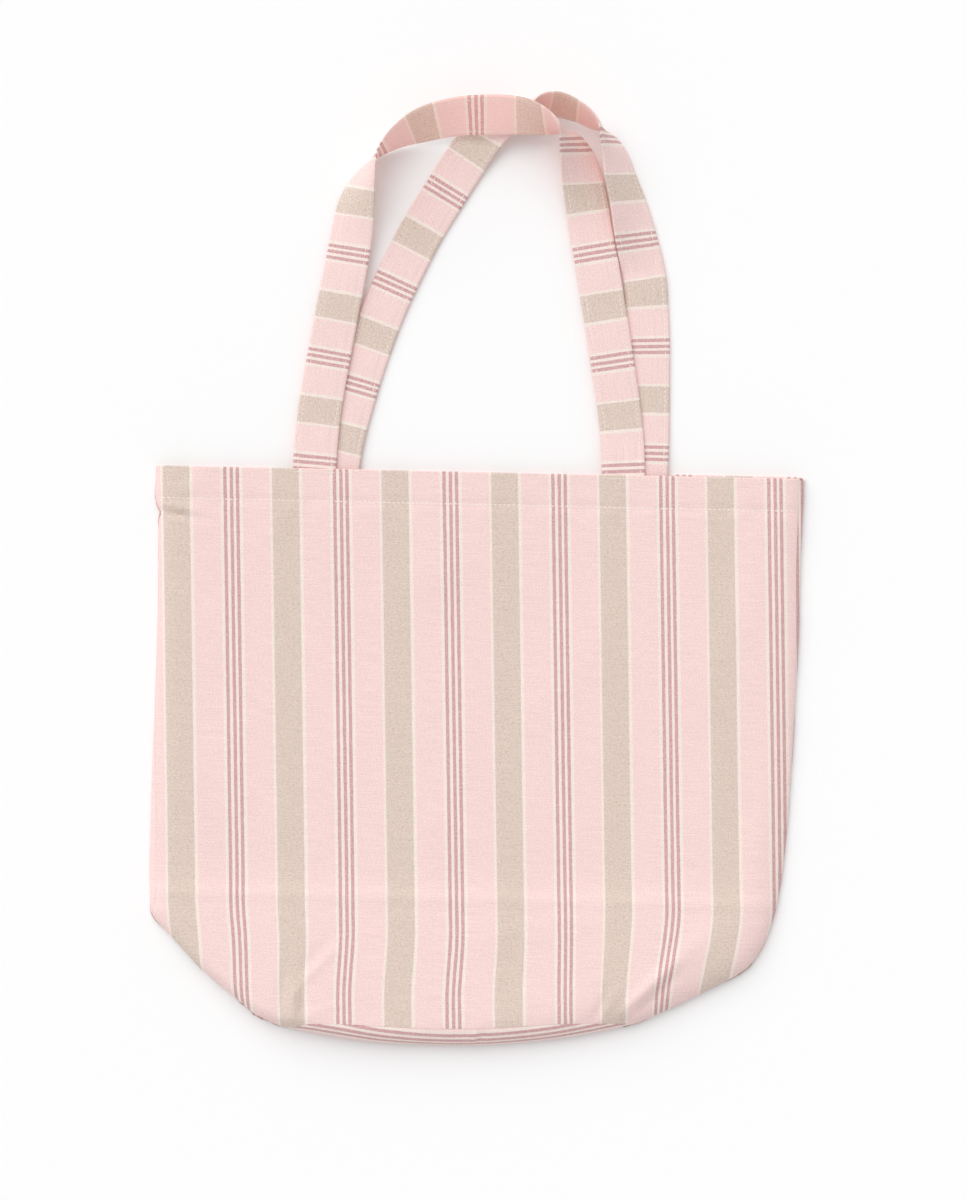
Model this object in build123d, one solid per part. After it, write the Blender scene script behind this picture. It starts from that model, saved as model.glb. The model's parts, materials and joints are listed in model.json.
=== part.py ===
"""Striped canvas tote bag, lying on its back with both handles laid out beyond the mouth.

Millimetres. +X runs along the bag's width, +Y from the base towards the mouth and the handles,
+Z up from the surface it lies on. The origin is the middle of the back panel's outer face.
"""
from build123d import *
from math import asin, cos, degrees, radians, sin
import os

# ---- driving dimensions -------------------------------------------------------------------
bag_width = 450.0          # across the mouth, laid flat
panel_height = 382.0       # mouth edge to base seam
side_taper = 3.0           # each side seam leans in by this much at its foot
cloth = 0.6                # one layer of canvas
hem_depth = 22.5           # mouth edge to the row that closes the hem
hem_layers = 2             # turned-in layers behind the panel
hem_margin = 1.0           # how far the turned-in layers reach past that row
hem_side_gap = 3.0         # left between the turned-in layers and the bag's side
strap_width = 30.0
strap_layers = 4           # the strap's strip is folded in four
strap_tail = 21.0          # length of strap sewn to the inside of the hem
strap_spread = 214.0       # between the two roots of one handle, centre to centre
strap_shift = 8.0          # front handle sits this much left, back handle this much right
mouth_slack = 0.5          # left between the front and back straps' tails when the mouth is closed
seam_height = 19.0         # outer face of the front panel above the surface, at the base seam
left_fold_run = 90.0       # lower left corner, folded under along a diagonal
left_fold_rise = 73.0
right_roll_run = 108.0     # lower right corner, rolled under
right_roll_rise = 92.0
right_knee_run = 33.0      # the roll's outermost knee, from the side and from the seam
right_knee_rise = 35.0
base_drop = 15.0           # how far the base panel bulges past the front seam
base_pleat = 52.0          # depth of the base panel's inward fold
bulge_slope = 2.5          # the base panel's bulge falls by this much before it rounds over
bulge_round = (6.0, 8.0)   # and rounds over this far in from its face and down from the seam
bulge_foot = 7.5           # height at which the bulge's face turns in to the pleat
pleat_lip = 5.0            # the pleat's two lips stand this far in from the bulge's face
pleat_high = 7.2           # the pleat's inner end runs from this height
pleat_low = 5.6            # down to this one
foot_lip = (7.0, 2.6)      # the lowest layer's turn: in from the bulge's face, and its height
seam_allowance = 10.0
seam_layers = 4            # cloth layers caught in a side seam
thread = 0.4               # height of a row of stitching above the cloth
stitch_row_width = 0.9
strap_stitch_inset = 3.2   # strap edge to its row of stitching
tack_depth = 2.5           # mouth edge to the short row that holds each strap down

# ---- clearances ---------------------------------------------------------------------------
joint_gap = 0.4            # between pieces on different bodies
lay_gap = 0.05             # between layers that lie on each other
laid = 0.5                 # under a strap that lies on the surface

# ---- worked out ---------------------------------------------------------------------------
half_width = bag_width / 2
mouth_y = panel_height / 2
seam_y = -panel_height / 2
foot_half = half_width - side_taper
hem_thick = hem_layers * cloth
strap_thick = strap_layers * cloth
tail_top = cloth + hem_thick + lay_gap + strap_thick
mouth_height = 2 * tail_top + mouth_slack
front_tilt = degrees(asin((seam_height - mouth_height) / panel_height))
left_seam_end = -foot_half + left_fold_run
right_seam_end = foot_half - right_roll_run
back_root_z = tail_top - strap_thick / 2
front_root_z = mouth_height - back_root_z
over = front_root_z - strap_thick / 2                 # under a front leg that lies on a back leg
hump = laid + strap_thick + strap_width / 3           # under the front bend where it crosses the back strap
front_roots = (-strap_spread / 2 - strap_shift, strap_spread / 2 - strap_shift)
back_roots = (-strap_spread / 2 + strap_shift, strap_spread / 2 + strap_shift)

# Each handle's way from its left root round to its right root. A stop is x and y from the middle
# of the mouth edge, the roll of the strap in degrees (0 lies flat with its outer face up, 90
# stands on edge, more leans outwards) and the height of its lowest edge.
front_route = [
    (-111.5, 45.0, 0, over), (-105.5, 85.0, 0, over), (-98.5, 126.0, 4, over), (-92.5, 163.0, 14, 2.4),
    (-89.0, 188.0, 36, 1.0), (-84.5, 207.0, 60, laid), (-76.5, 224.5, 90, laid), (-64.0, 235.5, 110, 1.0),
    (-45.5, 243.5, 128, 3.0), (-23.0, 247.5, 136, 6.4), (0.0, 248.0, 140, hump - 2), (20.0, 247.5, 134, hump),
    (36.0, 245.5, 118, hump - 1), (49.0, 239.0, 86, hump - 4), (58.5, 226.5, 52, over + 1.2),
    (66.0, 206.0, 20, over), (70.5, 182.0, 4, over), (75.5, 157.0, 0, over), (84.0, 111.0, 0, over),
    (92.0, 65.0, 0, over), (96.8, 33.0, 0, over),
]
back_route = [
    (-89.5, 48.0, 0, laid), (-77.8, 88.0, 0, laid), (-62.4, 128.4, 0, laid), (-46.0, 163.0, 0, laid),
    (-26.0, 197.5, 0, laid), (-11.8, 221.8, 0, laid), (0.0, 238.5, 0, laid), (12.0, 249.5, 2, laid),
    (22.0, 255.5, 16, laid), (30.0, 259.5, 62, laid), (38.0, 259.8, 104, laid), (50.0, 257.0, 118, laid),
    (62.0, 252.5, 116, laid), (71.5, 246.5, 106, laid), (78.5, 239.5, 88, laid), (84.5, 228.0, 62, laid),
    (92.0, 209.0, 46, laid), (99.0, 190.0, 34, laid), (104.5, 168.0, 16, laid), (110.0, 141.0, 0, laid),
    (113.0, 115.0, 0, laid), (114.6, 85.0, 0, laid), (115.2, 48.0, 0, laid),
]


def export(shape, node):
    export_step(shape, "parts/" + node + ".step")


def block(x, y, z):
    """A box given by its low and high value along each axis."""
    size = Box(x[1] - x[0], y[1] - y[0], z[1] - z[0])
    return Pos((x[0] + x[1]) / 2, (y[0] + y[1]) / 2, (z[0] + z[1]) / 2) * size


def tilted(shape):
    """Turns a piece drawn level with the mouth into the front panel's slope."""
    return shape.rotate(Axis((0, mouth_y, mouth_height), (1, 0, 0)), -front_tilt)


def panel_outline(inset=0.0):
    """The bag's flat outline, mouth to base seam, with its folded and rolled lower corners."""
    points = [
        (-half_width + inset, mouth_y),
        (-foot_half + inset, seam_y + left_fold_rise),
        (left_seam_end + inset, seam_y + inset),
        (right_seam_end - inset, seam_y + inset),
        (foot_half - right_knee_run - inset, seam_y + right_knee_rise + inset),
        (foot_half - inset, seam_y + right_roll_rise),
        (half_width - inset, mouth_y),
    ]
    return make_face(Polyline(*points, close=True))


def base_outline():
    """Where the base panel may show: the panel outline and the bulge below the front seam."""
    middle = (left_seam_end + right_seam_end) / 2
    bulge = ThreePointArc((left_seam_end, seam_y), (middle, seam_y - base_drop), (right_seam_end, seam_y))
    left, right, inner_y = left_seam_end, right_seam_end, seam_y + base_pleat
    corners = Polyline((right, seam_y), (right, inner_y), (left, inner_y), (left, seam_y))
    lens = make_face(Wire([bulge, *corners.edges()]))
    return panel_outline(inset=cloth) + lens


def under_front(clearance):
    """Everything below the front panel's inner face, for trimming what stands under it."""
    reach = bag_width
    top = mouth_height - cloth - clearance
    return tilted(block((-reach, reach), (-reach, reach), (-reach, top)))


# ---- the two panels and the base ----------------------------------------------------------
def back_panel():
    return extrude(panel_outline(), cloth)


def front_panel():
    return tilted(Pos(0, 0, mouth_height - cloth) * extrude(panel_outline(), cloth))


def base_panel():
    """The base, folded flat: out past the front seam, in as a pleat, and out to the back seam."""
    inner_y = seam_y - joint_gap + base_pleat
    outer_y = seam_y - base_drop + cloth / 2
    path = Polyline(
        (seam_y - joint_gap, seam_height - cloth),
        (outer_y + bulge_round[0], seam_height - bulge_slope),
        (outer_y, seam_height - bulge_round[1]),
        (outer_y, bulge_foot),
        (outer_y + pleat_lip, pleat_low),
        (inner_y, pleat_high),
        (inner_y, pleat_low),
        (outer_y + pleat_lip, foot_lip[1]),
        (outer_y + foot_lip[0], cloth / 2),
        (seam_y - lay_gap, cloth / 2),
    )
    section = Plane.YZ * trace(path, cloth)
    strip = extrude(section, bag_width / 2, both=True)
    return strip & extrude(base_outline(), seam_height)


# ---- hems ----------------------------------------------------------------------------------
def hem_band():
    side = half_width - hem_side_gap
    return (-side, side), (mouth_y - hem_depth - hem_margin, mouth_y)


def back_hem():
    x, y = hem_band()
    return block(x, y, (cloth, cloth + hem_thick))


def front_hem():
    x, y = hem_band()
    return tilted(block(x, y, (mouth_height - cloth - hem_thick, mouth_height - cloth)))


# ---- seams ---------------------------------------------------------------------------------
def side_seam(side):
    """The turned allowance that closes one side between the two panels."""
    foot_y = seam_y + (left_fold_rise if side < 0 else right_roll_rise)
    thick = seam_layers * cloth
    outer_top = half_width - lay_gap - cloth / 2
    outer_foot = foot_half - lay_gap - cloth / 2
    points = [
        (side * outer_top, mouth_y),
        (side * outer_foot, foot_y),
        (side * (outer_foot - thick / 2), foot_y),
        (side * (outer_top - thick / 2), mouth_y),
    ]
    wall = extrude(make_face(Polyline(*points, close=True)), seam_height)
    return Pos(0, 0, cloth + lay_gap) * wall & under_front(joint_gap)


def base_seam_back():
    y = (seam_y + cloth, seam_y + cloth + seam_allowance)
    return block((left_seam_end, right_seam_end), y, (cloth, cloth + hem_thick))


def base_seam_front():
    y = (seam_y + cloth, seam_y + cloth + seam_allowance)
    top = mouth_height - cloth - joint_gap
    return tilted(block((left_seam_end, right_seam_end), y, (top - hem_thick, top)))


# ---- handles -------------------------------------------------------------------------------
def stations(route, roots, root_z):
    """Centre, width direction and face direction of the strap at each stop along a handle."""
    start = mouth_y + joint_gap
    lift = root_z - strap_thick / 2
    stops = [(roots[0], start - mouth_y, 0, lift), *route, (roots[1], start - mouth_y, 0, lift)]
    centres = []
    for x, y, roll, low in stops:
        rise = abs(cos(radians(roll))) * strap_thick / 2 + abs(sin(radians(roll))) * strap_width / 2
        centres.append(Vector(x, mouth_y + y, low + rise))
    rows = []
    for i, centre in enumerate(centres):
        if i == 0:
            along = Vector(0, 1, 0)
        elif i == len(centres) - 1:
            along = Vector(0, -1, 0)
        else:
            along = (centres[i + 1] - centres[i - 1]).normalized()
        level = along.cross(Vector(0, 0, 1)).normalized()
        upright = level.cross(along)
        roll = radians(stops[i][2])
        across = level * cos(roll) + upright * sin(roll)
        rows.append((centre, across, across.cross(along)))
    return rows


def ribbon(rows, side, low, high):
    """A band along the handle: its two sides across the strap, its two faces through it."""
    corners = []
    for centre, across, face in rows:
        corners.append([
            centre + across * side[0] + face * low,
            centre + across * side[1] + face * low,
            centre + across * side[1] + face * high,
            centre + across * side[0] + face * high,
        ])
    faces = [make_face(Polyline(*end, close=True)) for end in (corners[0], corners[-1])]
    for here, after in zip(corners, corners[1:]):
        for k in range(4):
            near = Edge.make_line(here[k], here[(k + 1) % 4])
            far = Edge.make_line(after[k], after[(k + 1) % 4])
            faces.append(Face.make_surface_from_curves(near, far))
    return Solid(Shell(faces))


def handle(rows):
    half = strap_width / 2
    return ribbon(rows, (-half, half), -strap_thick / 2, strap_thick / 2)


def handle_stitching(rows):
    """Two rows of stitching, one along each edge of the strap's outer face."""
    low = strap_thick / 2 + lay_gap
    inner = strap_width / 2 - strap_stitch_inset
    outer = inner + stitch_row_width
    left = ribbon(rows, (-outer, -inner), low, low + thread)
    right = ribbon(rows, (inner, outer), low, low + thread)
    return Compound(children=[left, right])


def strap_ends(roots, low):
    """The two tails of one handle, lying on the inside of the hem."""
    half = strap_width / 2
    y = (mouth_y - strap_tail, mouth_y)
    return [block((x - half, x + half), y, (low, low + strap_thick)) for x in roots]


def back_handle_ends():
    return Compound(children=strap_ends(back_roots, cloth + hem_thick + lay_gap))


def front_handle_ends():
    low = mouth_height - cloth - hem_thick - lay_gap - strap_thick
    return Compound(children=[tilted(end) for end in strap_ends(front_roots, low)])


# ---- stitching -----------------------------------------------------------------------------
def hem_row():
    side = half_width - hem_side_gap - cloth
    y = mouth_y - hem_depth
    return (-side, side), (y - stitch_row_width / 2, y + stitch_row_width / 2)


def front_hem_stitching():
    x, y = hem_row()
    low = mouth_height + lay_gap
    return tilted(block(x, y, (low, low + thread)))


def back_hem_stitching():
    x, y = hem_row()
    low = cloth + hem_thick + lay_gap
    return block(x, y, (low, low + thread))


def tack_rows(roots, low):
    half = strap_width / 2
    y = mouth_y - tack_depth
    rows = (y - stitch_row_width / 2, y + stitch_row_width / 2)
    return [block((x - half, x + half), rows, (low, low + thread)) for x in roots]


def front_handle_tacks():
    return Compound(children=[tilted(row) for row in tack_rows(front_roots, mouth_height + lay_gap)])


def back_handle_tacks():
    low = cloth + hem_thick + lay_gap + strap_thick + lay_gap
    return Compound(children=tack_rows(back_roots, low))


os.makedirs("parts", exist_ok=True)
front_rows = stations(front_route, front_roots, front_root_z)
back_rows = stations(back_route, back_roots, back_root_z)
export(back_panel(), "back_panel")
export(front_panel(), "front_panel")
export(base_panel(), "base_panel")
export(back_hem(), "back_hem")
export(front_hem(), "front_hem")
export(side_seam(-1), "left_side_seam")
export(side_seam(1), "right_side_seam")
export(base_seam_back(), "base_seam_back")
export(base_seam_front(), "base_seam_front")
export(handle(front_rows), "front_handle")
export(handle(back_rows), "back_handle")
export(front_handle_ends(), "front_handle_ends")
export(back_handle_ends(), "back_handle_ends")
export(front_hem_stitching(), "front_hem_stitching")
export(back_hem_stitching(), "back_hem_stitching")
export(handle_stitching(front_rows), "front_handle_stitching")
export(handle_stitching(back_rows), "back_handle_stitching")
export(front_handle_tacks(), "front_handle_tacks")
export(back_handle_tacks(), "back_handle_tacks")
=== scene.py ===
"""Striped canvas tote bag lying on its back, with both handles laid out beyond the mouth.

Shapes are worked out in millimetres and turned into metres when a mesh is made. +X runs along
the bag's width, +Y from the base to the mouth and the handles, +Z up from the floor.
"""
import functools
import json
import math
import random

import bmesh
import bpy
import numpy as np
from mathutils import Matrix, Vector, noise


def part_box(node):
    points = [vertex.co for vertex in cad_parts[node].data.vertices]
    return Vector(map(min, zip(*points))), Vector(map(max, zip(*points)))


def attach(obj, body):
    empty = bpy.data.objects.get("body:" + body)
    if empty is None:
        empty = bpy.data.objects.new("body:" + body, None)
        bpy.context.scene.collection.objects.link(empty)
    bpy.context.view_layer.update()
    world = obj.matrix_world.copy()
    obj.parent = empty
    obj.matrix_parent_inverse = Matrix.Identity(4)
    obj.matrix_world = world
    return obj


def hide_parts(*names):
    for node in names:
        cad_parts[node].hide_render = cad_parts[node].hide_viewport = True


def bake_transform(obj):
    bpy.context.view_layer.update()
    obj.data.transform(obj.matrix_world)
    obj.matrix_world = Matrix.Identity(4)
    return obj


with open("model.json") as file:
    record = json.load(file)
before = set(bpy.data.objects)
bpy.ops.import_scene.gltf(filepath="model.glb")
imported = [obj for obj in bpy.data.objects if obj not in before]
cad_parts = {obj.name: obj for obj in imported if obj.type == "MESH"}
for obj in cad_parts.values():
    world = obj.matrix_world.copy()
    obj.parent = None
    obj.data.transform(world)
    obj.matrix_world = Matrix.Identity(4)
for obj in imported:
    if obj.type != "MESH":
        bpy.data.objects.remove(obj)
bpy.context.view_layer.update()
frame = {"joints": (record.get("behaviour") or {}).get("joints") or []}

# ---- sizes from the frame, in millimetres ----------------------------------------------------
MM = 0.001
RIGHT, FORWARD, UP = Vector((1, 0, 0)), Vector((0, 1, 0)), Vector((0, 0, 1))
pivot = {joint["name"]: Vector(joint["pos_m"]) / MM for joint in frame["joints"]}
panel_low, panel_high = (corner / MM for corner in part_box("back_panel"))
tail_low, tail_high = (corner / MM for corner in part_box("back_handle_ends"))
mouth_y = panel_high.y
seam_y = panel_low.y
mouth_top = pivot["front_handle_swing"].z
cloth = panel_high.z - panel_low.z
strap_tail = tail_high.y - tail_low.y
strap_thick = tail_high.z - tail_low.z

# ---- sizes of the soft pieces ----------------------------------------------------------------
edge_height = 1.3          # the bag's outline stands this high above the floor
hem_depth = 22.5           # mouth edge to the row that closes the hem
hem_radius = 0.9           # of the fold at the mouth edge
hem_reach = 24.0           # the turned-in cloth ends this far below the mouth edge
split_x = -14.2            # the front's two halves meet here at the mouth, beside a stripe
strap_width = 30.0
strap_groove = 11.7        # strap's centre line to each row of topstitching
inner_face = 200.0         # moves a strap's inner face to its own place across the flat cloth
left_zone = -132.0         # the front's sides lie outside these two lines; the script reads them but bends no cloth by them
right_zone = 117.0
base_left = -144.0         # the base panel reaches between these ends
base_right = 117.0
skin = 0.02                # the lowest cloth lies this much above the floor
seam_gap = 0.12            # the front's edge to the sewn line at each side
fold_wall = 0.75           # wall of a hem that is folded on itself
seam_wall = 1.4            # wall of a turned and sewn side edge
front_tail_low = 4.75      # lowest point of each handle's sewn tails
back_tail_low = 1.85
swell_x, swell_y = 95, 130     # spread of the wide and the fine unevenness of the panels
fine_x, fine_y = 34, 52
press_line = -104.0        # the pressed fold line across the bag

# ---- stripes ---------------------------------------------------------------------------------
stripe_repeat = 76.2       # across the cloth, from one linen band to the next
stripe_origin = 16.9       # a linen band's centre on the panels
mauve_centre = 38.45       # from a linen band's centre to the next three mauve lines
stripe_slant = 0.0365      # the stripes aren't quite square to the mouth edge
back_shift = -0.0345       # the back panel's stripes drift this much across, away from the front's


def smooth(low, high, value):
    t = min(max((value - low) / (high - low), 0.0), 1.0)
    return t * t * (3 - 2 * t)


def through(points, at):
    """A smooth line through (place, value) points, read at one place."""
    if at <= points[0][0]:
        return points[0][1]
    if at >= points[-1][0]:
        return points[-1][1]
    i = next(k for k in range(len(points) - 1) if at <= points[k + 1][0])
    slopes = [(b[1] - a[1]) / (b[0] - a[0]) for a, b in zip(points, points[1:])]
    before = slopes[i] if i == 0 else (slopes[i - 1] + slopes[i]) / 2
    after = slopes[i] if i == len(slopes) - 1 else (slopes[i] + slopes[i + 1]) / 2
    (x0, y0), (x1, y1) = points[i], points[i + 1]
    run = x1 - x0
    t = (at - x0) / run
    return ((1 + 2 * t) * (1 - t) ** 2 * y0 + t * (1 - t) ** 2 * run * before
            + t * t * (3 - 2 * t) * y1 + t * t * (t - 1) * run * after)


# ---- outline of the bag as it lies -----------------------------------------------------------
# Distances below the mouth edge are negative.
left_line = [(-386.4, -130.0), (-381.3, -144.0), (-370, -159.3), (-347.5, -186.4), (-326, -207.6),
             (-311, -221.4), (-300, -222.8), (-230, -223.5), (-165, -222.4), (-95, -221.7),
             (-42, -222.5), (-36, -222.3), (-32.5, -220.8), (-29, -223.4), (0, -225.0)]
right_line = [(-384.3, 97.8), (-379.4, 117.0), (-375.6, 125.2), (-362.3, 152.7), (-351.6, 173.2),
              (-341.6, 190.0), (-328.6, 200.5), (-309.5, 208.6), (-283.6, 214.2), (-249, 217.6),
              (-200, 220.3), (-152, 222.0), (-110, 223.2), (-55, 223.5), (0, 225.0)]
base_line = [(-144, -381.3), (-137, -384.0), (-130, -386.4), (-109.5, -390.7), (-88.7, -394.0),
             (-60.9, -396.7), (-33, -397.4), (1, -397.2), (22, -395.9), (63.4, -391.2),
             (97.8, -384.3), (117, -379.4)]
front_seam_line = [(-144, -381.3), (-137, -383.9), (-130, -386.2), (-107.5, -382.6), (-63, -382.9),
                   (-19.7, -384.0), (21.7, -382.4), (63, -379.2), (100, -378.8), (117, -379.4)]
base_stripe_line = [(-130, -380), (-95, -384.5), (-60, -390.2), (-20, -393.3), (20, -391.5), (55, -387),
                    (85, -380.5), (117, -372)]
left_wrap = [(-385, 0.2), (-330, 0.3), (-314, 0.8), (-300, 4.2), (-260, 4.8), (-215, 3.2),
             (-180, 1.0), (-120, 0.5), (0, 0.5)]
right_wrap = [(-385, 0.25), (-300, 0.3), (-165, 0.5), (-120, 1.6), (-60, 3.4), (0, 4.2)]


def left_edge(y):
    return through(left_line, y - mouth_y)


def right_edge(y):
    return through(right_line, y - mouth_y)


def left_seam(y):
    return left_edge(y) + through(left_wrap, y - mouth_y)


def right_seam(y):
    return right_edge(y) - through(right_wrap, y - mouth_y)


def outline_points():
    """The outline from the mouth down the left, along the base and up the right."""
    step = 5.0
    left = [(left_edge(mouth_y - step * k), mouth_y - step * k) for k in range(-8, 77)]
    base = [(x, mouth_y + through(base_line, x)) for x in np.linspace(base_left, base_right, 40)]
    right = [(right_edge(mouth_y - step * k), mouth_y - step * k) for k in range(75, -9, -1)]
    return np.array(left + base + right)


outline = outline_points()
outline_runs = np.diff(outline, axis=0)
outline_squares = (outline_runs ** 2).sum(1)


def edge_distance(x, y):
    offset = np.array((x, y)) - outline[:-1]
    along = np.clip((offset * outline_runs).sum(1) / outline_squares, 0, 1)
    apart = offset - outline_runs * along[:, None]
    return math.sqrt((apart ** 2).sum(1).min())


# ---- height of the cloth ---------------------------------------------------------------------
crown_line = [(-206, 18.2), (-191, 17.6), (-150, 15.0), (-118, 12.9), (-103, 11.4), (-92, 10.0),
              (-60, 9.2), (20, 8.4), (120, 8.4), (165, 8.9), (191, 9.0)]
left_round = [(-210, 11.0), (-150, 11.0), (-118, 15.0), (-60, 22.0), (100, 20.0), (191, 15.0)]
right_round = [(-210, 24.0), (-170, 34.0), (-120, 32.0), (-60, 24.0), (100, 20.0), (191, 15.0)]

# Soft creases: x, y, direction in degrees, length, width and height.
creases = [
    (-121, -177, 86, 32, 3.8, 2.2), (-129.5, -168, 82, 26, 2.2, -1.3), (-114, -178, 94, 26, 2.4, -1.2),
    (-105, -153, 50, 42, 2.4, 1.2), (-110, -149, 50, 40, 3.4, -0.8), (-112, -186, 20, 40, 4, 0.8),
    (121, -164, 46, 52, 4.4, 2.6), (127, -170, 46, 44, 3.4, -1.6), (90, -176, 66, 28, 2.4, -1.3),
    (96, -177, 66, 28, 3.4, 1.3), (146, -141, 42, 64, 9, 1.3), (-206, 172, 40, 50, 6, 0.8),
    (-196, 150, 112, 60, 8, 0.6), (-212, 158, 172, 34, 2.2, -2.0), (-208, 162, 168, 30, 2.4, 1.4),
    (40, -172, 95, 26, 5, 0.6), (70, 60, 60, 110, 16, 0.6), (-70, -30, 118, 130, 18, 0.6),
    (180, 90, 70, 90, 12, 0.6), (-190, -60, 98, 110, 10, 0.6), (196, -60, 84, 120, 10, 0.6),
    (-30, 120, 20, 90, 14, 0.5), (-140, 150, 60, 60, 8, 0.5), (140, 40, 110, 120, 14, 0.6),
    (-20, -60, 80, 140, 16, 0.5), (4, -200, 76, 14, 1.8, 1.6), (9, -200, 76, 14, 1.8, -1.6),
    (205, 168, 100, 40, 4, 0.9), (60, -120, 12, 150, 10, 0.5),
]


def crease(x, y, line):
    cx, cy, turn, length, width, height = line
    angle = math.radians(turn)
    along = (x - cx) * math.cos(angle) + (y - cy) * math.sin(angle)
    across = -(x - cx) * math.sin(angle) + (y - cy) * math.cos(angle)
    return height * math.exp(-(along * 2 / length) ** 2 - (across / width) ** 2)


def ripple(x, y):
    """Small unevenness of cloth that has been folded and laid out again."""
    wide = noise.noise(Vector((x / swell_x, y / swell_y, 2.3)))
    fine = noise.noise(Vector((x / fine_x, y / fine_y, 7.1))) * 0.42
    fold = 0.7 * math.exp(-((y - press_line) / 4.0) ** 2)
    hem = -0.7 * math.exp(-((y - mouth_y + hem_depth) / 2.2) ** 2)
    under = math.exp(-((y - mouth_y + hem_depth + 3) / 6) ** 2)
    waves = 0.34 * math.sin(x / 4.1 + 2 * math.sin(x / 23)) * under
    return wide + fine + fold + hem + waves + sum(crease(x, y, line) for line in creases)


def pillow(share):
    """Height of a soft rounded edge, from 0 at the outline to 1 where it levels off."""
    return (1 - (1 - min(share, 1.0)) ** 2.2) ** (1 / 2.2)


def top_height(x, y):
    side = smooth(-170, 170, x)
    reach = through(left_round, y) * (1 - side) + through(right_round, y) * side
    full = pillow(edge_distance(x, y) / reach)
    return edge_height + (through(crown_line, y) - edge_height + ripple(x, y)) * full


def top_point(x, y, depth=0.0):
    """A point of the bag's upper skin, or so far below it."""
    here = Vector((x, y, top_height(x, y)))
    if depth == 0:
        return here
    step = 0.3
    slope_x = (top_height(x + step, y) - top_height(x - step, y)) / (2 * step)
    slope_y = (top_height(x, y + step) - top_height(x, y - step)) / (2 * step)
    return here - Vector((-slope_x, -slope_y, 1)).normalized() * depth


def bottom_height(x, y):
    return edge_height * (1 - pillow(edge_distance(x, y) / 3.5)) + skin


# ---- where the stripes lie on the panels -----------------------------------------------------
def panel_stripe(x, y):
    """How far across the flat cloth a point of a panel was, from the middle of the bag."""
    stretch = 0.016 * max(x - 20, 0)
    slant = stripe_slant * (mouth_y - y) - 0.35 - 0.006 * x
    left = 8 * smooth(-105, -190, y) * smooth(-70, -190, x)
    right = 11 * smooth(-105, -180, y) * smooth(50, 160, x)
    foot = 3.2 * smooth(-125, -175, y) * (1 - smooth(0, 90, x))
    return x + stretch - slant - left + right + foot


def back_mouth(x):
    """The back's mouth edge lies a little beyond the front's on the right."""
    return mouth_y + 1.5 * smooth(60, 140, x)


def middle_x(y):
    """Where the two halves of the front meet, beside a stripe all the way down."""
    return split_x + stripe_slant * (mouth_y - y)


def back_stripe(x, y):
    return panel_stripe(x, y) + back_shift * (x - panel_low.x)


# ---- making meshes ---------------------------------------------------------------------------
def sheet_mesh(columns, rows, place, inside_out=False):
    """A grid laid out by place(s, t), which gives a point and its spot on the flat cloth."""
    bm = bmesh.new()
    bmesh.ops.create_grid(bm, x_segments=columns, y_segments=rows, size=0.5)
    spots = {}
    for vert in bm.verts:
        point, spot = place(vert.co.x + 0.5, vert.co.y + 0.5)
        spots[vert] = spot
        vert.co = point * MM
    flat = bm.loops.layers.uv.new("flat_cloth")
    for face in bm.faces:
        for loop in face.loops:
            loop[flat].uv = spots[loop.vert]
    if inside_out:
        bmesh.ops.reverse_faces(bm, faces=bm.faces)
    return bm


def add_wall(bm, thick):
    """Gives a sheet its thickness, under its outer skin, and keeps the cut edge crisp."""
    bm.normal_update()
    made = bmesh.ops.extrude_face_region(bm, geom=bm.faces[:], use_keep_orig=True)
    for vert in made["geom"]:
        if isinstance(vert, bmesh.types.BMVert):
            vert.co -= vert.normal * thick * MM
    bmesh.ops.recalc_face_normals(bm, faces=bm.faces)
    bm.normal_update()
    for edge in bm.edges:
        edge.smooth = edge.calc_face_angle(0.0) < math.radians(60)


def finished(bm, name, material, thick=0.0):
    """Turns a mesh into a smooth piece, with a wall under its outer skin if it is a sheet."""
    bmesh.ops.remove_doubles(bm, verts=bm.verts, dist=0.00001)
    if thick:
        add_wall(bm, thick)
    mesh = bpy.data.meshes.new(name)
    bm.to_mesh(mesh)
    bm.free()
    mesh.polygons.foreach_set("use_smooth", [True] * len(mesh.polygons))
    mesh.materials.append(material)
    piece = bpy.data.objects.new(name, mesh)
    bpy.context.scene.collection.objects.link(piece)
    return piece


# ---- the shader toolkit ----------------------------------------------------------------------
class Value:
    """A number that varies over a surface; sums and products of it add Math nodes."""

    def __init__(self, finish, socket):
        self.finish = finish
        self.socket = socket

    def math(self, operation, *values):
        node = self.finish.node("ShaderNodeMath", {"operation": operation}, dict(enumerate(values)))
        return Value(self.finish, node.outputs[0])

    def __add__(self, other):
        return self.math("ADD", self, other)

    def __sub__(self, other):
        return self.math("SUBTRACT", self, other)

    def __rsub__(self, other):
        return self.math("SUBTRACT", other, self)

    def __mul__(self, other):
        return self.math("MULTIPLY", self, other)

    def __truediv__(self, other):
        return self.math("DIVIDE", self, other)

    __radd__ = __add__
    __rmul__ = __mul__

    def sine(self):
        return self.math("SINE", self)

    def size(self):
        return self.math("ABSOLUTE", self)

    def part(self):
        return self.math("FRACT", self)

    def between(self, low, high):
        """0 below low, 1 above high."""
        settings = {"interpolation_type": "SMOOTHSTEP"}
        node = self.finish.node("ShaderNodeMapRange", settings, {0: self, 1: low, 2: high})
        return Value(self.finish, node.outputs[0])


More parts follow.
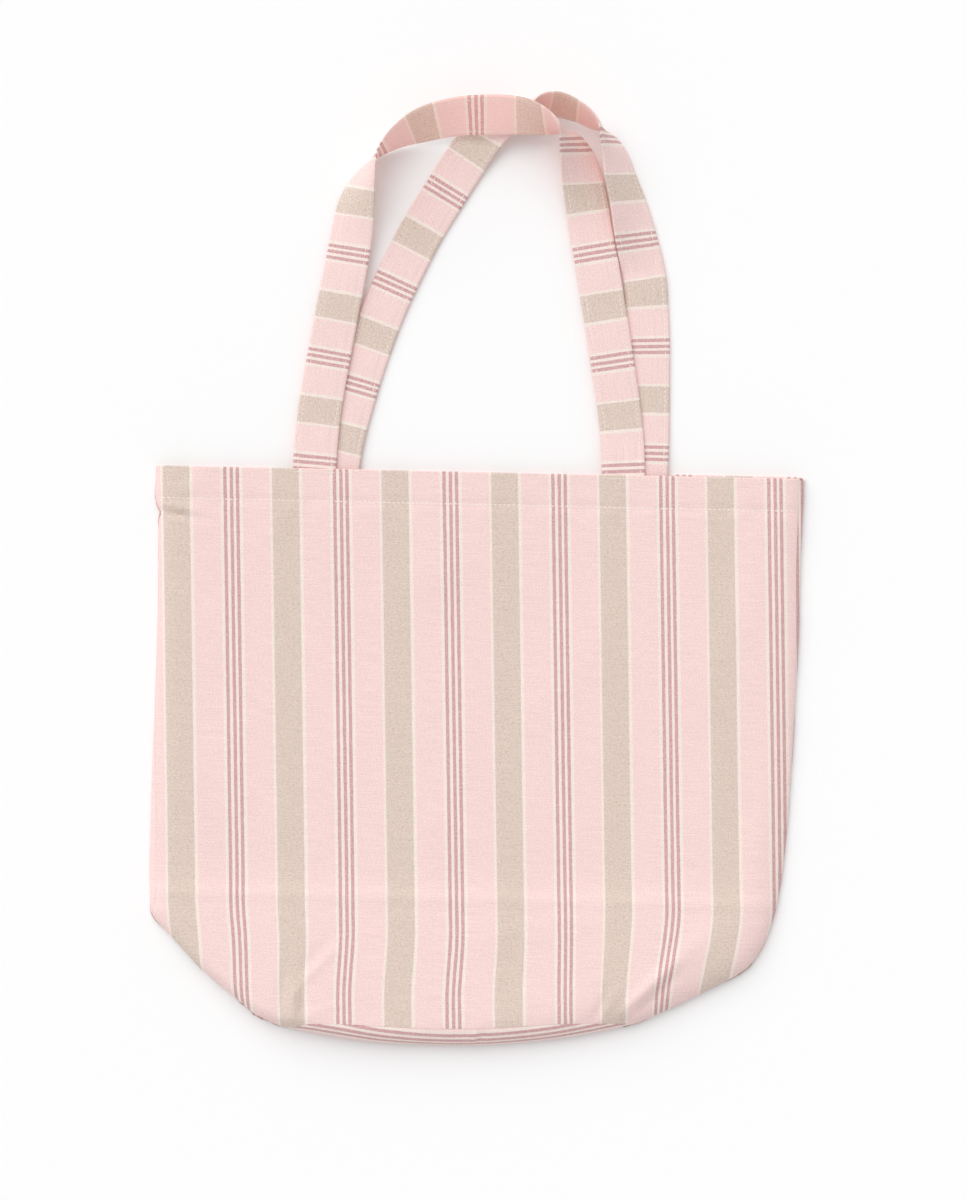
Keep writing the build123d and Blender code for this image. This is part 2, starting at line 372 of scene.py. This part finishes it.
class Finish:
    """A material under construction."""

    def __init__(self, name, roughness=0.9, sheen=0.0):
        self.material = bpy.data.materials.new(name)
        self.material.use_nodes = True
        self.tree = self.material.node_tree
        self.shader = self.tree.nodes["Principled BSDF"]
        self.shader.inputs["Roughness"].default_value = roughness
        self.shader.inputs["Specular IOR Level"].default_value = 0.25
        self.shader.inputs["Sheen Weight"].default_value = sheen
        self.shader.inputs["Sheen Roughness"].default_value = 0.6

    def node(self, kind, settings, inputs):
        made = self.tree.nodes.new(kind)
        for key, value in settings.items():
            if key == "stops":
                self.stops(made.color_ramp, value)
            else:
                setattr(made, key, value)
        for key, value in inputs.items():
            if isinstance(value, Value):
                value = value.socket
            if isinstance(value, bpy.types.NodeSocket):
                self.tree.links.new(value, made.inputs[key])
            else:
                made.inputs[key].default_value = value
        return made

    def stops(self, ramp, stops):
        ramp.interpolation = "CONSTANT"
        ramp.elements.remove(ramp.elements[1])
        ramp.elements[0].color = stops[0][1]
        for place, colour in stops[1:]:
            ramp.elements.new(place).color = colour

    def flat_cloth(self):
        """Across and along the flat cloth in millimetres, and both as a vector."""
        spot = self.node("ShaderNodeUVMap", {"uv_map": "flat_cloth"}, {}).outputs[0]
        parts = self.node("ShaderNodeSeparateXYZ", {}, {0: spot})
        return Value(self, parts.outputs[0]), Value(self, parts.outputs[1])

    def noise(self, x, y, detail=2.0, z=0.0):
        """Uneven noise from 0 to 1 over two coordinates that are already scaled."""
        spot = self.node("ShaderNodeCombineXYZ", {}, {0: x, 1: y, 2: z})
        inputs = {"Vector": spot.outputs[0], "Scale": 1.0, "Detail": detail}
        made = self.node("ShaderNodeTexNoise", {}, inputs)
        return Value(self, made.outputs[0])

    def mix(self, factor, first, second, blend="MIX"):
        settings = {"data_type": "RGBA", "blend_type": blend}
        return self.node("ShaderNodeMix", settings, {0: factor, 6: first, 7: second}).outputs[2]

    def painted_glow(self, colour, strength):
        """Painted light: a faint emission that stands in for light coming through the cloth and bouncing
        between its faces.
        """
        self.tree.links.new(colour, self.shader.inputs["Emission Color"])
        self.shader.inputs["Emission Strength"].default_value = strength

    def paint(self, colour, height=None, depth=0.0):
        """Joins the colour and the bump to the shader and hands over the material."""
        self.tree.links.new(colour, self.shader.inputs["Base Color"])
        if height is not None:
            inputs = {"Strength": 1.0, "Distance": depth * MM, "Height": height}
            bump = self.node("ShaderNodeBump", {}, inputs)
            self.tree.links.new(bump.outputs[0], self.shader.inputs["Normal"])
        return self.material


def tint(red, green, blue):
    """A colour given as it looks on a screen, from 0 to 255, as a shader needs it."""
    share = [channel / 255 for channel in (red, green, blue)]
    return (*[c / 12.92 if c < 0.04045 else ((c + 0.055) / 1.055) ** 2.4 for c in share], 1.0)


PINK = tint(243, 211, 208)
LINEN = tint(214, 196, 182)
CREAM = tint(243, 230, 220)
MAUVE = tint(197, 141, 146)
WEFT = tint(245, 223, 218)
FLECK = tint(176, 154, 134)
THREAD = tint(252, 242, 234)
# The next two are painted shade and painted light for a strap's inner face.
PAINTED_INNER_SHADE = tint(255, 245, 241)
PAINTED_GLOW = (1.0, 0.46, 0.4, 1.0)

# Where each colour starts across one repeat, from the centre of a linen band.
bands = [(0.0, LINEN), (9.3, CREAM), (11.8, PINK), (30.8, CREAM), (33.0, MAUVE), (35.3, CREAM),
         (37.3, MAUVE), (39.6, CREAM), (41.6, MAUVE), (43.9, CREAM), (46.3, PINK), (64.9, CREAM),
         (66.9, LINEN)]


def canvas(name, along_stripes):
    """Plain-weave cotton: coloured warp yarns in stripes, crossed by pale weft yarns."""
    finish = Finish(name, roughness=0.92, sheen=0.12)
    u, v = finish.flat_cloth()
    across, along = (u, v) if along_stripes else (v, u)
    wander = (finish.noise(across * 0.9, along * 0.11) - 0.5) * 0.5
    place = ((across + wander - stripe_origin) / stripe_repeat).part()
    stops = [(start / stripe_repeat, colour) for start, colour in bands]
    warp = finish.node("ShaderNodeValToRGB", {"stops": stops}, {0: place}).outputs[0]

    yarn = 0.74
    cross = (across * (math.pi / yarn)).sine() * (along * (math.pi / yarn)).sine()
    weft_over = cross.between(-0.2, 0.5)
    slub = finish.noise(across * 0.045, along * 1.7, 3.0)
    rib = finish.noise(across * 2.2, along * 0.16, 3.0, 4.0)
    grain = finish.noise(across * 1.0, along * 1.0, 4.0, 41.0)
    broken = finish.noise(across * 1.1, along * 0.75, 1.0, 9.0).between(0.36, 0.62)
    colour = finish.mix(weft_over * 0.24 + broken * 0.30, warp, WEFT)

    in_linen = (place - 0.5).size().between(0.5 - 9.6 / stripe_repeat, 0.5 - 9.0 / stripe_repeat)
    fleck = finish.noise(across * 0.5, along * 1.4, 2.0, 17.0).between(0.52, 0.68)
    colour = finish.mix(fleck * in_linen * 0.45, colour, FLECK)
    pale = finish.noise(across * 0.45, along * 1.5, 2.0, 23.0).between(0.56, 0.72)
    colour = finish.mix(pale * 0.35, colour, CREAM)
    speck = finish.noise(across * 1.3, along * 1.3, 1.0, 31.0).between(0.72, 0.78)
    colour = finish.mix(speck * 0.5, colour, FLECK)
    mottle = (slub - 0.5) * 0.26 + (rib - 0.5) * 0.16 + (grain - 0.5) * 0.5
    parts = {0: mottle + 0.985, 1: mottle + 0.98, 2: mottle + 0.98}
    shade = finish.node("ShaderNodeCombineColor", {}, parts)
    colour = finish.mix(1.0, colour, shade.outputs[0], "MULTIPLY")
    if not along_stripes:
        # Painted shade: a strap's inner face is multiplied by a deeper salmon tint, standing in for the
        # shade and warm bounced light where the strap turns over.
        inner = u.between(inner_face / 2, inner_face)
        colour = finish.mix(inner, colour, PAINTED_INNER_SHADE, "MULTIPLY")
        # Painted light: the strap's inner face glows faintly, standing in for light that passes through
        # and bounces off the cloth.
        finish.painted_glow(finish.mix(inner, (0, 0, 0, 1), PAINTED_GLOW), 0.12)
    height = cross * 0.5 + slub * 0.9 + rib * 0.6
    return finish.paint(colour, height, 0.16)


def sewing_thread():
    finish = Finish("cream_thread", roughness=0.7, sheen=0.2)
    spot = finish.node("ShaderNodeTexCoord", {}, {}).outputs["Object"]
    parts = finish.node("ShaderNodeSeparateXYZ", {}, {0: spot})
    x, y = (Value(finish, parts.outputs[k]) / MM for k in (0, 1))
    twist = ((x + y) * 7.0).sine()
    uneven = finish.noise(x * 0.4, y * 0.4)
    colour = finish.mix(uneven * 0.35 + twist * 0.08 + 0.08, THREAD, tint(238, 214, 204))
    return finish.paint(colour, twist, 0.05)


body_canvas = canvas("striped_canvas_body", True)
base_canvas = canvas("striped_canvas_base", True)
strap_canvas = canvas("striped_canvas_strap", False)
thread = sewing_thread()


# ---- panels ----------------------------------------------------------------------------------
def crowded(s, low_end):
    """Packs a grid's columns towards the rounded edge of the bag."""
    turn = 0.82 * math.sin(math.pi * s) / math.pi
    return s - turn if low_end else s + turn


def front_spot(left):
    bottom = mouth_y + front_seam_line[0][1]

    def place(s, t):
        flat_y = bottom + (mouth_y - hem_radius - bottom) * t
        x, y = split_x, flat_y
        for _ in range(4):
            y = flat_y + (mouth_y + through(front_seam_line, x) - bottom) * (1 - t) ** 6
            if left:
                edge = left_seam(y) + seam_gap
                x = edge + (middle_x(y) - edge) * crowded(s, True)
            else:
                edge = right_seam(y) - seam_gap
                x = middle_x(y) + (edge - middle_x(y)) * crowded(s, False)
        return top_point(x, y), (panel_stripe(x, y), y)

    return place


def front_half(name, left):
    bm = sheet_mesh(92, 150, front_spot(left))
    piece = finished(bm, name, body_canvas, cloth)
    side = (left_edge(0), left_zone) if left else (right_edge(0), right_zone)
    side[0] * MM
    side[1] * MM
    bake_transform(piece)
    return piece


def back_spot(s, t):
    y = seam_y + (mouth_y - hem_radius - seam_y) * t
    reach = t ** 8
    wrap = 0.1
    if s < wrap:
        x = left_seam(y) + (left_edge(y) - left_seam(y)) * s / wrap
        return top_point(x, y), (back_stripe(x, y), y)
    if s > 1 - wrap:
        x = right_edge(y) + (right_seam(y) - right_edge(y)) * (s - 1 + wrap) / wrap
        return top_point(x, y), (back_stripe(x, y), y)
    share = (s - wrap) / (1 - 2 * wrap)
    share -= 0.9 * math.sin(2 * math.pi * share) / (2 * math.pi)
    x = left_edge(y) + (right_edge(y) - left_edge(y)) * share
    y += (back_mouth(x) - mouth_y) * reach
    return Vector((x, y, bottom_height(x, y))), (back_stripe(x, y), y)


def back_panel():
    bm = sheet_mesh(130, 110, back_spot, inside_out=True)
    piece = finished(bm, "back_panel_cloth", body_canvas, cloth)
    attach(piece, "bag")
    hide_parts("back_panel")
    return piece


@functools.cache
def bulge(x, inner, outer):
    """Places down the bulge from the seam to the outline, and the cloth's length to each."""
    steps = 24
    places = [inner + (outer - inner) * math.sin(math.pi / 2 * k / steps) for k in range(steps + 1)]
    points = [top_point(x, y) for y in places]
    runs = [(b - a).length for a, b in zip(points, points[1:])]
    return [inner - y for y in places], np.concatenate(([0.0], np.cumsum(runs)))


def base_spot(s, t):
    """From under the front's edge out over the bulge, round its edge and back under the bag."""
    x = base_left + (base_right - base_left) * s
    inner = mouth_y + through(front_seam_line, x)
    outer = mouth_y + through(base_line, x)
    stripe = stripe_origin + mauve_centre + mouth_y + through(base_stripe_line, x) - inner
    places, lengths = bulge(x, inner, outer)
    turn = 0.7       # share of the rows above the outline
    tuck = 1.5       # how far the cloth runs on under the front's edge
    if t < turn:
        share = math.sin(math.pi / 2 * t / turn)
        y = inner + tuck + (outer - inner - tuck) * share
        depth = (cloth + 0.1) * smooth(inner - 0.4, inner + 0.1, y)
        down = float(np.interp(inner - y, places, lengths))
        return top_point(x, y, depth), (stripe + down, x)
    share = (t - turn) / (1 - turn)
    y = outer + (max(seam_y - 0.2, outer + 1.5) - outer) * share
    height = edge_height * (1 - pillow(share)) + skin
    return Vector((x, y, height)), (stripe + float(lengths[-1]) + y - outer, x)


def base_panel():
    bm = sheet_mesh(110, 26, base_spot, inside_out=True)
    piece = finished(bm, "base_panel_cloth", base_canvas, cloth)
    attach(piece, "bag")
    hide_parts("base_panel", "base_seam_back", "base_seam_front")
    return piece


# ---- hems ------------------------------------------------------------------------------------
hem_turn = 0.3             # share of the hem's rows that go round the fold


def front_hem_spot(left):
    edge = left_seam(mouth_y) + 1.4 if left else right_seam(mouth_y) - 1.4
    fold_y = mouth_y - hem_radius

    def place(s, t):
        if left:
            x = edge + (split_x - edge) * crowded(s, True)
        else:
            x = split_x + (edge - split_x) * crowded(s, False)
        if t < hem_turn:
            angle = math.pi * t / hem_turn
            outer = top_point(x, fold_y)
            inward = top_point(x, fold_y, 1.0) - outer
            point = outer + inward * hem_radius * (1 - math.cos(angle))
            point.y += hem_radius * math.sin(angle)
            return point, (panel_stripe(x, fold_y), mouth_y + hem_radius * (angle - math.pi / 2))
        y = fold_y - (hem_reach - hem_radius) * (t - hem_turn) / (1 - hem_turn)
        return top_point(x, y, 2 * hem_radius), (panel_stripe(x, y), 2 * mouth_y - y + 2)

    return place


def front_hem_half(name, left):
    piece = finished(sheet_mesh(70, 24, front_hem_spot(left)), name, body_canvas, fold_wall)
    side = (left_edge(0), left_zone) if left else (right_edge(0), right_zone)
    side[0] * MM
    side[1] * MM
    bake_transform(piece)
    return piece


def back_hem_spot(s, t):
    low, high = left_edge(mouth_y) + 3.0, right_edge(mouth_y) - 3.0
    x = low + (high - low) * s
    fold_y = back_mouth(x) - hem_radius
    if t < hem_turn:
        angle = math.pi * t / hem_turn
        y = fold_y + hem_radius * math.sin(angle)
        z = bottom_height(x, fold_y) + hem_radius * (1 - math.cos(angle))
        return Vector((x, y, z)), (back_stripe(x, y), mouth_y + hem_radius * (angle - math.pi / 2))
    y = fold_y - (hem_reach - hem_radius) * (t - hem_turn) / (1 - hem_turn)
    z = bottom_height(x, y) + 2 * hem_radius
    return Vector((x, y, z)), (back_stripe(x, y), 2 * mouth_y - y + 2)


def back_hem():
    bm = sheet_mesh(130, 24, back_hem_spot, inside_out=True)
    piece = finished(bm, "back_hem_cloth", body_canvas, fold_wall)
    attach(piece, "bag")
    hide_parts("back_hem")
    return piece


# ---- side seams ------------------------------------------------------------------------------
seam_allowance = 10.5


def side_seam(name, node, left, foot):
    """The sewn and turned edge inside one side of the bag."""
    def place(s, t):
        y = mouth_y + foot + (-foot - 1.0) * t
        if left:
            x = left_seam(y) + 0.7 + seam_allowance * s
        else:
            x = right_seam(y) - 0.7 - seam_allowance * (1 - s)
        return top_point(x, y, cloth + 0.35), (seam_allowance * s + 22, y)

    piece = finished(sheet_mesh(10, 90, place), name, body_canvas, seam_wall)
    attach(piece, "bag")
    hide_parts(node)
    return piece


# ---- handles ---------------------------------------------------------------------------------
# Each handle's way from its left root to its right root: x and y from the middle of the mouth
# edge, how the strap lies there, and the height of its lowest edge. How it lies is its roll in
# degrees (0 flat, 90 on edge) or, where it turns over, how far its inner edge is from its outer
# edge, seen from above.
laid = 0.5
over = 3.45
hump = laid + strap_thick + strap_width / 3
front_route = [
    (-111.5, 45.0, 0, over), (-105.5, 85.0, 0, over), (-98.5, 126.0, 4, over - 0.2),
    (-92.5, 163.0, 14, 2.0), (-89.0, 186.0, 34, 1.0), (-83.5, 202.5, 60, laid),
    (-75.5, 217.0, 88, laid), (-63.0, 228.5, 110, 1.0), (-45.0, 238.0, 132, 3.0),
    (-23.0, 243.6, 142, 6.4), (0.0, 244.8, 146, hump - 1.4), (18.0, 244.5, (-1, 23.5), hump),
    (34.0, 242.5, (-4, 19), hump), (45.3, 239.2, (-3.5, 9.5), hump - 4),
    (50.4, 236.4, (-4.5, 2), over + 5), (55.5, 232.5, (-13, -4.5), over + 3.5),
    (60.6, 223.5, (-21.5, -4), over + 2.6), (64.6, 210.0, (-27.5, -4), over + 1.6),
    (67.6, 197.0, (-29.4, -3), over + 0.6), (70.8, 180.0, 2, over), (75.3, 157.0, 0, over),
    (84.0, 111.0, 0, over), (92.0, 65.0, 0, over), (96.8, 33.0, 0, over),
]
back_route = [
    (-89.5, 48.0, 0, laid), (-77.8, 88.0, 0, laid), (-62.4, 128.4, 0, laid), (-46.0, 163.0, 0, laid),
    (-26.0, 197.5, 0, laid), (-12.6, 219.5, 3, laid), (-2.0, 234.0, (25.5, -14.5), laid),
    (8.0, 242.5, (25.0, -10.5), laid), (18.5, 249.5, (19.0, -1.0), laid),
    (29.5, 253.2, (9.5, 7.5), laid), (40.0, 254.4, (3.5, 11.8), laid), (50.0, 253.6, (1.5, 12.5), laid),
    (61.2, 249.8, (0.0, 10.5), laid), (71.0, 244.2, (-0.5, 7.5), laid),
    (77.2, 239.5, (-3.0, 2.5), laid), (82.5, 232.8, (-11.0, -3.5), laid),
    (88.0, 222.0, (-18.2, -3.0), laid), (91.8, 208.0, (-22.0, -3.5), laid),
    (97.9, 188.5, (-25.5, -4.5), laid),
    (103.2, 168.0, (-28.5, -5.0), laid), (110.0, 141.0, 0, laid),
    (113.0, 115.0, 0, laid), (114.6, 85.0, 0, laid), (115.2, 48.0, 0, laid),
]


class Strap:
    """One handle's centre line with its width and face directions, every few millimetres."""

    def __init__(self, route, roots, root_low):
        inside = [(-strap_tail, root_low), (-strap_tail / 2, root_low), (2.0, root_low)]
        start = [(roots[0], y, 0, low) for y, low in inside]
        finish = [(roots[1], y, 0, low) for y, low in reversed(inside)]
        stops = [*start, *route, *finish]
        self.keys = [0.0]
        for a, b in zip(stops, stops[1:]):
            self.keys.append(self.keys[-1] + math.hypot(b[0] - a[0], b[1] - a[1]))
        ways = [across_of(stops, k) for k in range(len(stops))]
        rows = [(x, y, low, *way) for (x, y, _, low), way in zip(stops, ways)]
        self.lines = [[(key, row[k]) for key, row in zip(self.keys, rows)] for k in range(6)]
        count = int(self.keys[-1] / 0.5)
        self.places = [self.centre(self.keys[-1] * k / count) for k in range(count + 1)]
        runs = [(b[0] - a[0]).length for a, b in zip(self.places, self.places[1:])]
        self.lengths = np.concatenate(([0.0], np.cumsum(runs)))
        self.length = float(self.lengths[-1])

    def centre(self, key):
        x, y, low, *way = (through(line, key) for line in self.lines)
        across = Vector(way).normalized()
        rise = math.hypot(across.x, across.y) * strap_thick / 2 + abs(across.z) * strap_width / 2
        return Vector((x, mouth_y + y, low + rise)), across

    def at(self, distance):
        """Centre, direction along, direction across and direction out of the face."""
        k = int(np.clip(np.searchsorted(self.lengths, distance), 1, len(self.lengths) - 1))
        share = (distance - self.lengths[k - 1]) / (self.lengths[k] - self.lengths[k - 1])
        (a, across_a), (b, across_b) = self.places[k - 1], self.places[k]
        reach = 4
        far = self.places[min(k + reach, len(self.places) - 1)][0]
        near = self.places[max(k - 1 - reach, 0)][0]
        along = (far - near).normalized()
        across = across_a.lerp(across_b, share).normalized()
        return a.lerp(b, share), along, across, across.cross(along).normalized()


def across_of(stops, k):
    """The direction from a strap's outer edge to its inner edge at one stop of its route."""
    lies = stops[k][2]
    if isinstance(lies, tuple):
        plan = Vector(lies) / strap_width
        return plan.x, plan.y, math.sqrt(max(1 - plan.length_squared, 0))
    before, after = stops[max(k - 1, 0)], stops[min(k + 1, len(stops) - 1)]
    run = Vector((after[0] - before[0], after[1] - before[1])).normalized()
    turn = math.radians(lies)
    return run.y * math.cos(turn), -run.x * math.cos(turn), math.sin(turn)


def strap_height(w, distance):
    """Half the strap's thickness, w from its centre line: rounded edges and two sewn grooves."""
    half = strap_width / 2
    body = strap_thick / 2 * math.sqrt(max(1 - abs(w / half) ** 12, 0.0))
    groove = 0.3 * math.exp(-((abs(w) - strap_groove) / 0.9) ** 2)
    swell = 0.10 * noise.noise(Vector((w / 12, distance / 16, 5.0)))
    return max(body - groove * min(body, 1) + swell * min(body, 1), 0.0)


def strap_wander(distance):
    """How far a strap strays sideways from its route."""
    return 0.35 * noise.noise(Vector((distance / 38, 1.0, 4.0)))


def strap_bow(strap, w, distance):
    """How far a strap's face bows up or down, nothing at its sewn ends."""
    bow = 0.35 * noise.noise(Vector((distance / 45, w / 30, 9.0)))
    return bow * smooth(8, 30, strap_end(strap, distance))


def strap_piece(name, strap, marks):
    """Each mark is (place along the strap, place in the stripes)."""
    side = 9
    around = 4 * side
    rows = int(strap.length / 2.2)

    def place(s, t):
        k = round(s * around)
        lap = k if k <= 2 * side else 4 * side - k
        w = strap_width / 2 * math.sin(math.pi / 2 * (lap - side) / side)
        distance = strap.length * t
        centre, _, across, face = strap.at(distance)
        height = strap_height(w, distance) * (1 if k <= 2 * side else -1)
        lift = height + strap_bow(strap, w, distance)
        point = centre + across * (w + strap_wander(distance)) + face * lift
        stripe = stripe_origin + marked(marks, distance)
        # The inner face's spots are moved by inner_face, so the strap material can paint shade and a
        # glow on that face.
        return point, (w if k <= 2 * side else w + inner_face, stripe)

    bm = sheet_mesh(around, rows, place)
    bmesh.ops.remove_doubles(bm, verts=bm.verts, dist=0.00001)
    bmesh.ops.holes_fill(bm, edges=[edge for edge in bm.edges if edge.is_boundary], sides=0)
    bmesh.ops.recalc_face_normals(bm, faces=bm.faces)
    return finished(bm, name, strap_canvas)


def marked(marks, distance):
    """Where in the stripes a place along the strap is; the ends carry on past the outer marks."""
    first, last = marks[0], marks[-1]
    if first[0] < distance < last[0]:
        return through(marks, distance)
    return (first[1] + distance - first[0]) if distance <= first[0] else (last[1] + distance - last[0])


def strap_end(strap, distance):
    return min(distance, strap.length - distance)


# ---- stitching -------------------------------------------------------------------------------
def spindle():
    """The plain shape of one stitch, with its ends along X."""
    bm = bmesh.new()
    lengthwise = Matrix.Rotation(math.pi / 2, 4, "Y")
    bmesh.ops.create_uvsphere(bm, u_segments=6, v_segments=4, radius=1.0, matrix=lengthwise)
    mesh = bpy.data.meshes.new("one_stitch")
    bm.to_mesh(mesh)
    bm.free()
    return mesh


one_stitch = spindle()
stitch_pitch = 3.3         # of the rows along the hems and the straps
tack_pitch = 2.7


def lay_stitch(bm, centre, along, across, out, length, width):
    """Adds one short stitch that lies on the cloth."""
    turn = Matrix((along, across, out)).transposed().to_4x4()
    size = Matrix.Diagonal((length / 2 * MM, width / 2 * MM, width * 0.36 * MM, 1))
    stitch = one_stitch.copy()
    stitch.transform(Matrix.Translation(centre * MM) @ turn @ size)
    bm.from_mesh(stitch)
    bpy.data.meshes.remove(stitch)


def strap_stitches(name, strap, chance):
    """Topstitching along both edges and on both faces of a handle."""
    bm = bmesh.new()
    count = int((strap.length - 6) / stitch_pitch)
    for row in (-strap_groove, strap_groove):
        for side in (1, -1):
            for k in range(count):
                distance = 3 + stitch_pitch * (k + 0.5)
                centre, along, across, face = strap.at(distance)
                height = strap_height(row, distance) * side + strap_bow(strap, row, distance)
                shift = row + strap_wander(distance) + chance.uniform(-0.1, 0.1)
                place = centre + across * shift + face * (height + 0.04 * side)
                lay_stitch(bm, place, along, across, face, 2.5, 0.62)
    return finished(bm, name, thread)


def hem_stitches(name, x_range, place_on, chance):
    """The row that closes a hem."""
    bm = bmesh.new()
    count = int((x_range[1] - x_range[0]) / stitch_pitch)
    for k in range(count):
        x = x_range[0] + stitch_pitch * (k + 0.5)
        y = mouth_y - hem_depth + chance.uniform(-0.12, 0.12)
        lean = Vector((1, chance.uniform(-0.05, 0.05), 0)).normalized()
        lay_stitch(bm, place_on(x, y), lean, UP.cross(lean), UP, 2.8, 1.0)
    return finished(bm, name, thread)


def tack_stitches(name, roots, place_on, chance):
    """The short row across each strap, just below the mouth edge."""
    bm = bmesh.new()
    for root in roots:
        for k in range(-5, 6):
            x = root + tack_pitch * k
            y = mouth_y - 2.6 + chance.uniform(-0.08, 0.08)
            lay_stitch(bm, place_on(x, y), RIGHT, FORWARD, UP, 2.0, 0.5)
    return finished(bm, name, thread)


# ---- the bag ---------------------------------------------------------------------------------
chance = random.Random(7)
front_left = front_half("front_panel_left", True)
front_right = front_half("front_panel_right", False)
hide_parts("front_panel")
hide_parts("front_panel")
back_panel()
base_panel()

hem_left = front_hem_half("front_hem_left", True)
hem_right = front_hem_half("front_hem_right", False)
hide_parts("front_hem")
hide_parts("front_hem")
back_hem()
side_seam("left_side_seam_cloth", "left_side_seam", True, -309.0)
side_seam("right_side_seam_cloth", "right_side_seam", False, -290.0)


def roots(node):
    """The middles of a handle's two roots, from the outer sides of its sewn tails."""
    low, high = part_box(node)
    return low.x / MM + strap_width / 2, high.x / MM - strap_width / 2


front_strap = Strap(front_route, roots("front_handle_ends"), front_tail_low)
back_strap = Strap(back_route, roots("back_handle_ends"), back_tail_low)
front_marks = [(strap_tail + 3.7, mauve_centre),
               (front_strap.length / 2 - 4.6, mauve_centre + 4 * stripe_repeat),
               (front_strap.length - strap_tail - 2.8, mauve_centre + 8 * stripe_repeat)]
back_marks = [(strap_tail + 22.3, 0.0),
              (back_strap.length - strap_tail - 15.9, mauve_centre + 7 * stripe_repeat)]

for label, strap, body, handle, hem, marks in (
    ("front", front_strap, "front", "front_handle", "front_hem_left", front_marks),
    ("back", back_strap, "bag", "back_handle", "back_hem_cloth", back_marks),
):
    piece = strap_piece(label + "_handle_strap", strap, marks)
    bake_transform(piece)
    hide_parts(handle, handle + "_ends")
    rows = strap_stitches(label + "_handle_topstitching", strap, chance)
    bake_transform(rows)
    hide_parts(handle + "_stitching")



def on_front(x, y):
    return top_point(x, y, -0.08)


def on_back_hem(x, y):
    return Vector((x, y, bottom_height(x, y) + 2 * hem_radius + 0.08))


def on_back_tail(x, y):
    return Vector((x, y, back_tail_low + strap_thick + 0.1))


left_end, right_end = left_seam(mouth_y) + 1.5, right_seam(mouth_y) - 1.5
for name, span, zone in (
    ("front_hem_stitches_left", (left_end, split_x), (left_edge(0), left_zone)),
    ("front_hem_stitches_right", (split_x, right_end), (right_edge(0), right_zone)),
):
    rows = hem_stitches(name, span, on_front, chance)
    zone[0] * MM
    zone[1] * MM
    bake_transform(rows)
    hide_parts("front_hem_stitching")
rows = hem_stitches("back_hem_stitches", (left_end + 3, right_end - 3), on_back_hem, chance)
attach(rows, "bag")
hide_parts("back_hem_stitching")
rows = tack_stitches("front_handle_tack_rows", roots("front_handle_ends"), on_front, chance)
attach(rows, "front")
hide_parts("front_handle_tacks")
rows = tack_stitches("back_handle_tack_rows", roots("back_handle_ends"), on_back_tail, chance)
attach(rows, "bag")
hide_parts("back_handle_tacks")


# ---- floor, light and camera -----------------------------------------------------------------
def floor():
    bm = bmesh.new()
    bmesh.ops.create_grid(bm, x_segments=1, y_segments=1, size=6.0)
    bmesh.ops.translate(bm, verts=bm.verts, vec=(0, 0, -0.0002))
    finish = Finish("pale_floor", roughness=0.95)
    spot = finish.node("ShaderNodeTexCoord", {}, {}).outputs["Object"]
    grain = finish.node("ShaderNodeTexNoise", {}, {"Vector": spot, "Scale": 3.0, "Detail": 2.0})
    colour = finish.mix(Value(finish, grain.outputs[0]) * 0.03, tint(246, 246, 246), tint(245, 245, 245))
    ground = finished(bm, "floor", finish.paint(colour))


def soft_light(name, place, aim, spread, strength):
    """A broad even light that comes from place towards aim; spread is its width in degrees."""
    lamp = bpy.data.lights.new(name, "SUN")
    lamp.energy = strength
    lamp.angle = math.radians(spread)
    holder = bpy.data.objects.new(name, lamp)
    holder.location = place
    holder.rotation_euler = (Vector(aim) - Vector(place)).to_track_quat("-Z", "Y").to_euler()
    bpy.context.scene.collection.objects.link(holder)


def studio():
    world = bpy.data.worlds.new("studio")
    world.use_nodes = True
    world.node_tree.nodes["Background"].inputs[0].default_value = (1, 1, 1, 1)
    world.node_tree.nodes["Background"].inputs[1].default_value = 0.69
    bpy.context.scene.world = world
    soft_light("main_light", (-0.65, 1.1, 1.05), (0, 0.1, 0), 60, 1.82)
    bpy.context.scene.view_settings.view_transform = "Standard"


def camera():
    lens = bpy.data.cameras.new("camera")
    lens.lens = 85
    lens.sensor_width = 36
    holder = bpy.data.objects.new("camera", lens)
    view_height = 0.8292
    distance = view_height / 2 / (lens.sensor_width / 2 / lens.lens)
    holder.location = (0.0040, 0.1026, distance + mouth_top * MM)
    holder.rotation_euler = (0, 0, math.radians(1.232))
    bpy.context.scene.collection.objects.link(holder)
    bpy.context.scene.camera = holder


floor()
studio()
camera()
